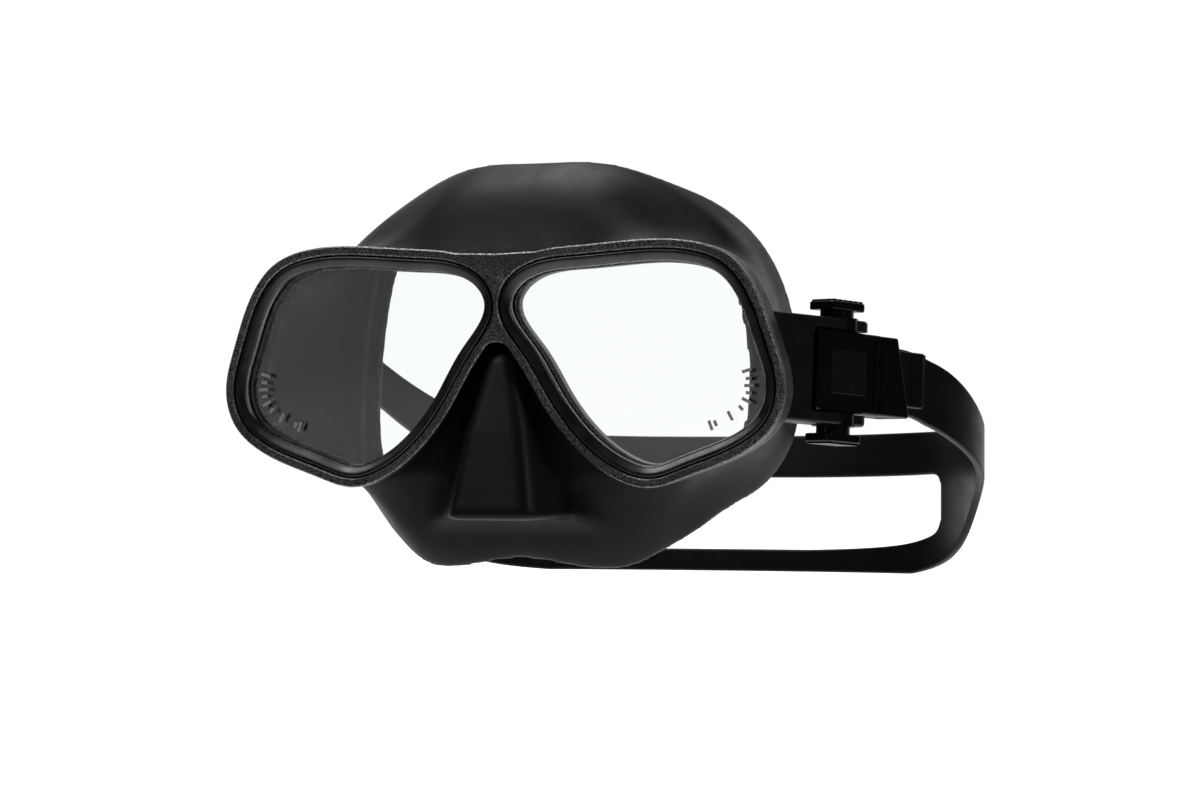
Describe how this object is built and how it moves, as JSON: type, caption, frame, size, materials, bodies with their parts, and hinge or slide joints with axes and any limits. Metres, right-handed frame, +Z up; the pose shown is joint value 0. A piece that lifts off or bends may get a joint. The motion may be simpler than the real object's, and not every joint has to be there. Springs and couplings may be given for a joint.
{
  "type": "diving mask",
  "caption": "Two-lens diving mask with a metal front plate, silicone skirt with nose pocket, swivelling squeeze buckles and a split silicone strap.",
  "frame": {"origin": "on the ground, under the middle of the mask's box, as it stands on the skirt's lower lobes and the back of the strap", "axes": "+X to the wearer's left, +Y from the lenses towards the wearer's head, +Z up"},
  "size_m": [0.2046, 0.176, 0.1157],
  "materials": {
    "anodised_metal": "bead-blasted black anodised aluminium, fine grain, bright edges",
    "satin_black": "smooth satin black moulded plastic",
    "gloss_black": "polished black moulded plastic",
    "silicone": "satin black liquid silicone rubber",
    "lens_glass": "clear tempered glass",
    "steel": "stainless steel"
  },
  "bodies": {
    "mask": {"front_frame": "anodised_metal", "rear_frame": "satin_black", "frame_screws": "steel", "lens_ring_left": "satin_black", "lens_ring_right": "satin_black", "lens_left": "lens_glass", "lens_right": "lens_glass", "skirt": "silicone", "side_arm_left": "gloss_black", "side_arm_right": "gloss_black", "strap": "silicone"},
    "buckle_left": {"buckle_housing_left": "gloss_black", "buckle_cover_left": "gloss_black", "buckle_badge_left": "gloss_black", "strap_bar_left": "steel", "pawl_pin_left": "steel", "upper_spring_left": "steel", "lower_spring_left": "steel"},
    "upper_button_left": {"upper_button_left": "gloss_black"},
    "lower_button_left": {"lower_button_left": "gloss_black"},
    "pawl_left": {"strap_pawl_left": "satin_black"},
    "buckle_right": {"buckle_housing_right": "gloss_black", "buckle_cover_right": "gloss_black", "buckle_badge_right": "gloss_black", "strap_bar_right": "steel", "pawl_pin_right": "steel", "upper_spring_right": "steel", "lower_spring_right": "steel"},
    "upper_button_right": {"upper_button_right": "gloss_black"},
    "lower_button_right": {"lower_button_right": "gloss_black"},
    "pawl_right": {"strap_pawl_right": "satin_black"}
  },
  "joints": [
    {"name": "buckle_swivel_left", "type": "hinge", "parent": "mask", "child": "buckle_left", "pos_m": [0.083, -0.04707, 0.05627], "axis": [-0.0193, -0.0487, -0.9986], "range_deg": [-16, 12], "deforming": ["strap"]},
    {"name": "press_upper_left", "type": "slide", "parent": "buckle_left", "child": "upper_button_left", "axis": [-0.0193, -0.0487, -0.9986], "range_m": [0, 0.002], "stiffness_N_per_m": 900, "springref_m": -0.001, "deforming": ["upper_spring_left"]},
    {"name": "press_lower_left", "type": "slide", "parent": "buckle_left", "child": "lower_button_left", "axis": [0.0193, 0.0487, 0.9986], "range_m": [0, 0.002], "stiffness_N_per_m": 900, "springref_m": -0.001, "deforming": ["lower_spring_left"]},
    {"name": "pawl_turn_left", "type": "hinge", "parent": "buckle_left", "child": "pawl_left", "pos_m": [0.08627, -0.03934, 0.05583], "axis": [-0.0193, -0.0487, -0.9986], "range_deg": [0, 6]},
    {"name": "buckle_swivel_right", "type": "hinge", "parent": "mask", "child": "buckle_right", "pos_m": [-0.083, -0.04707, 0.05627], "axis": [-0.0193, 0.0487, 0.9986], "range_deg": [-16, 12], "deforming": ["strap"]},
    {"name": "press_upper_right", "type": "slide", "parent": "buckle_right", "child": "upper_button_right", "axis": [0.0193, -0.0487, -0.9986], "range_m": [0, 0.002], "stiffness_N_per_m": 900, "springref_m": -0.001, "deforming": ["upper_spring_right"]},
    {"name": "press_lower_right", "type": "slide", "parent": "buckle_right", "child": "lower_button_right", "axis": [-0.0193, 0.0487, 0.9986], "range_m": [0, 0.002], "stiffness_N_per_m": 900, "springref_m": -0.001, "deforming": ["lower_spring_right"]},
    {"name": "pawl_turn_right", "type": "hinge", "parent": "buckle_right", "child": "pawl_right", "pos_m": [-0.08627, -0.03934, 0.05583], "axis": [-0.0193, 0.0487, 0.9986], "range_deg": [0, 6]}
  ],
  "couplings": [
    {"joint": "pawl_turn_left", "follows": "press_upper_left", "rad_per_m": 52.36},
    {"joint": "pawl_turn_right", "follows": "press_upper_right", "rad_per_m": 52.36}
  ]
}
